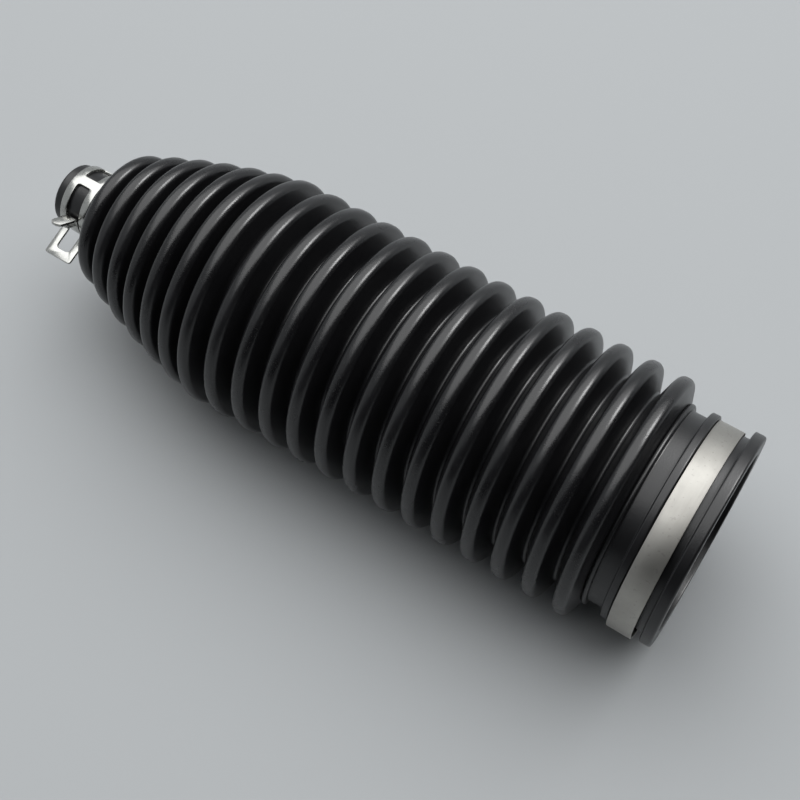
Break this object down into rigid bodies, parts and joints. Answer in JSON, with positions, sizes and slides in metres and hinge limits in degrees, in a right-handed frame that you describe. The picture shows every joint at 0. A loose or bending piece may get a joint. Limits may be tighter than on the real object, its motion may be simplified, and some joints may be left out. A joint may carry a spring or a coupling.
{
  "type": "steering rack bellows boot",
  "caption": "Convoluted rubber boot for an inner tie rod joint, with a flat band clamp on its wide cuff and a spring strip clamp on its narrow neck.",
  "frame": {"origin": "centre of the open end face of the wide cuff", "axes": "+Z along the boot's axis from the wide cuff to the narrow neck, and -Y towards the side that the neck clamp's windows and grip tab face"},
  "size_m": [0.066, 0.066, 0.1993],
  "materials": {
    "boot_rubber": "satin black moulded rubber",
    "band_steel": "satin rolled stainless strip",
    "spring_steel": "bright plated spring strip"
  },
  "bodies": {
    "cuff_end": {"bellows": "boot_rubber", "cuff_clamp": "band_steel"},
    "neck_end": {"neck_clamp": "spring_steel"}
  },
  "joints": [
    {"name": "neck_slide", "type": "slide", "parent": "cuff_end", "child": "neck_end", "axis": [0, 0, 1], "range_m": [-0.075, 0.075], "stiffness_N_per_m": 300, "deforming": ["bellows"]}
  ]
}
